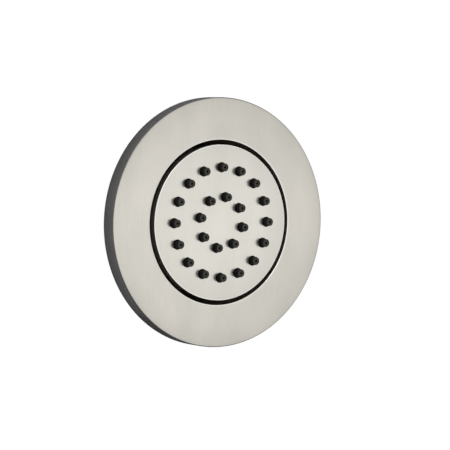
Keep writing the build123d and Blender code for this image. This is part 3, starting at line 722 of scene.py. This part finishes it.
background = tree.nodes["Background"]
background.inputs["Color"].default_value = WHITE
level = add(tree, "ShaderNodeMapRange", {"Value": seen_rays(tree), "To Min": AMBIENT, "To Max": 1.0})
tree.links.new(level.outputs[0], background.inputs["Strength"])
print("world:", world.name)

# %% [markdown]
# ## The floor
# A sheet of white paper lies far below, since the jet hangs on a wall and stands on nothing. Plain paper
# would come out grey, because less light falls on it than the room seems to have. So it glows nearly
# white where it is seen, with a little plain paper added that takes the object's shadow. Where it only
# throws light on the object it is paper and nothing else.

# %% Floor
FLOOR_HEIGHT, FLOOR_SIZE, UPWARD = -0.6, 8, (0, 0, 1)


def stage_plane(name, size, location, facing, material):
    # The grid starts one metre wide, so its scale is its size in metres.
    bm = bmesh.new()
    bmesh.ops.create_grid(bm, x_segments=1, y_segments=1, size=0.5)
    bmesh.ops.scale(bm, verts=bm.verts, vec=(size[0], size[1], 1))
    bmesh.ops.rotate(bm, verts=bm.verts, cent=(0, 0, 0),
                     matrix=Vector(facing).to_track_quat("Z", "Y").to_matrix())
    bmesh.ops.translate(bm, verts=bm.verts, vec=location)
    mesh = bpy.data.meshes.new(name)
    bm.to_mesh(mesh)
    bm.free()
    mesh.materials.append(material)
    plane = bpy.data.objects.new(name, mesh)
    bpy.context.collection.objects.link(plane)
    return plane


paper = bpy.data.materials.new("white paper floor")
paper.use_nodes = True
tree = paper.node_tree
tree.nodes.remove(tree.nodes["Principled BSDF"])
sheet = add(tree, "ShaderNodeBsdfDiffuse", {"Color": linear("#f4f4f2")})
glow = add(tree, "ShaderNodeEmission", {"Color": WHITE, "Strength": 0.84})
shadow = add(tree, "ShaderNodeBsdfDiffuse", {"Color": linear("#898989")})
lit = add(tree, "ShaderNodeAddShader", {0: glow.outputs[0], 1: shadow.outputs[0]})
both = add(tree, "ShaderNodeMixShader", {0: seen_rays(tree), 1: sheet.outputs[0], 2: lit.outputs[0]})
tree.links.new(both.outputs[0], tree.nodes["Material Output"].inputs["Surface"])
floor = stage_plane("floor", (FLOOR_SIZE, FLOOR_SIZE), (0, 0, FLOOR_HEIGHT), UPWARD, paper)
print("stage:", floor.name, "at", FLOOR_HEIGHT, "m")

# %% [markdown]
# ## Cards
# The rim is much darker than the face. Darker metal would look dark from every side, so the rim mirrors
# something dark instead. A photographer puts grey cards where the metal sees them and the lens doesn't:
# here one high and one left behind the object, a darker one low and just right of the middle, and one on
# the floor. Only reflections see them, so they throw no shade. Further right, low down, the room stays
# open, and metal seen from behind mirrors its white.

# %% Cards
FORWARD, CARD_LIFT = (0, -1, 0), 0.005


def card(name, size, location, facing, tone):
    material, _, shader = new_material(name + " paper", metallic=0.0, roughness=0.9)
    shader.inputs["Base Color"].default_value = linear(tone)
    plane = stage_plane(name, size, location, facing, material)
    plane.visible_camera = plane.visible_diffuse = plane.visible_shadow = False
    print("stage:", plane.name)


card("high_card", size=(2.6, 1.3), location=(0, 0.75, 0.65), facing=FORWARD, tone="#767679")
card("left_card", size=(1.92, 0.62), location=(-0.34, 0.752, -0.29), facing=FORWARD, tone="#767679")
card("dark_card", size=(0.6, 0.5), location=(0.35, 0.74, -0.35), facing=FORWARD, tone="#4c4c4e")
low_place = (0, 0.37, FLOOR_HEIGHT + CARD_LIFT)
card("low_card", size=(2.0, 0.75), location=low_place, facing=UPWARD, tone="#565658")

# %% [markdown]
# ## Lamps
# The brushed faces mirror a wide, low soft light in front and to the right, which gives the plate its
# bright middle. A large one, high on the left, fills the shadows. Small lamps would draw small, hard
# highlights, so both are area lamps, and both point at the middle of the plate's back.

# %% Lamps
def soft_lamp(name, location, size, watts):
    light = bpy.data.lights.new(name, "AREA")
    light.shape = "RECTANGLE"
    light.size, light.size_y = size
    light.energy = watts
    lamp = bpy.data.objects.new(name, light)
    lamp.location = location
    lamp.rotation_mode = "QUATERNION"
    lamp.rotation_quaternion = (-Vector(location)).to_track_quat("-Z", "Y")
    bpy.context.collection.objects.link(lamp)
    print("lamp:", lamp.name, watts, "W")


soft_lamp("front right", location=(0.58, -1.42, -0.075), size=(0.8, 0.14), watts=0.26)
soft_lamp("top left", location=(-0.9, -0.9, 1.3), size=(0.9, 0.9), watts=6.0)
